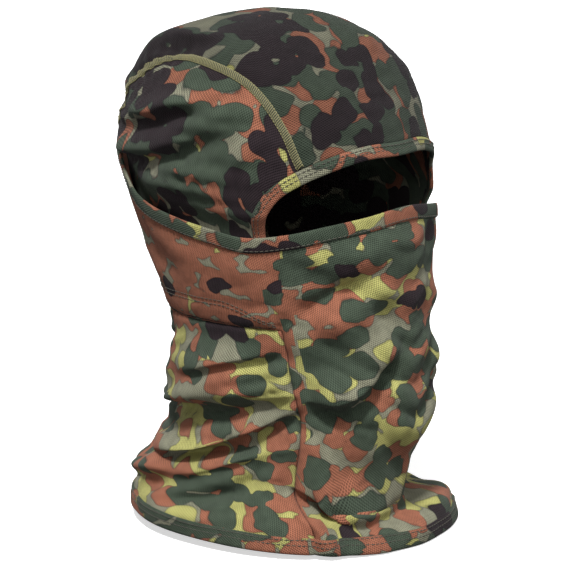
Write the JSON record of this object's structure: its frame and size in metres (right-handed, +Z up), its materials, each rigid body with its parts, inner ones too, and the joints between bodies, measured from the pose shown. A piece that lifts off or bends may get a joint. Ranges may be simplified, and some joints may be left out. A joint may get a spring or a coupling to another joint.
{
  "type": "balaclava",
  "caption": "Thin knitted balaclava: a panelled inner hood with an eye opening, inside a tube that masks the face and neck.",
  "frame": {"origin": "centre of the wearer's head, on the midline, 150 mm above the bottom hem", "axes": "+Z up towards the crown, the face opening looks along -Y, the wearer's right is -X"},
  "size_m": [0.183, 0.2094, 0.2935],
  "materials": {
    "camo_knit": "matt polyester mesh knit, five-colour woodland spot print",
    "camo_knit_hood": "matt polyester mesh knit, darker share of the same print",
    "camo_knit_hem": "folded knit with the same print",
    "olive_thread": "matt textured polyester sewing thread"
  },
  "bodies": {
    "hood": {"crown_panel": "camo_knit_hood", "hood_side_right": "camo_knit_hood", "hood_side_left": "camo_knit_hood", "crown_seam_right": "olive_thread", "crown_seam_left": "olive_thread", "face_facing": "camo_knit_hem", "facing_stitch_outer": "olive_thread", "facing_stitch_inner": "olive_thread", "mask_band_right": "camo_knit", "mask_band_left": "camo_knit", "mask_hem_back": "camo_knit_hem", "mask_hem_stitch_back": "olive_thread", "band_stitch_upper": "olive_thread", "band_stitch_lower": "olive_thread", "nape_seam_allowance": "camo_knit_hood", "centre_back_allowance": "camo_knit", "neck_front_panel": "camo_knit", "neck_back_panel": "camo_knit", "side_seam_right": "camo_knit", "side_seam_left": "camo_knit", "bottom_hem": "camo_knit_hem", "bottom_hem_stitch_upper": "olive_thread", "bottom_hem_stitch_lower": "olive_thread"},
    "mask": {"mask_front": "camo_knit", "mask_hem_front": "camo_knit_hem", "mask_hem_stitch_front": "olive_thread"}
  },
  "joints": [
    {"name": "mask_drop", "type": "slide", "parent": "hood", "child": "mask", "axis": [0, -0.1191, -0.9929], "range_m": [0, 0.075]}
  ]
}
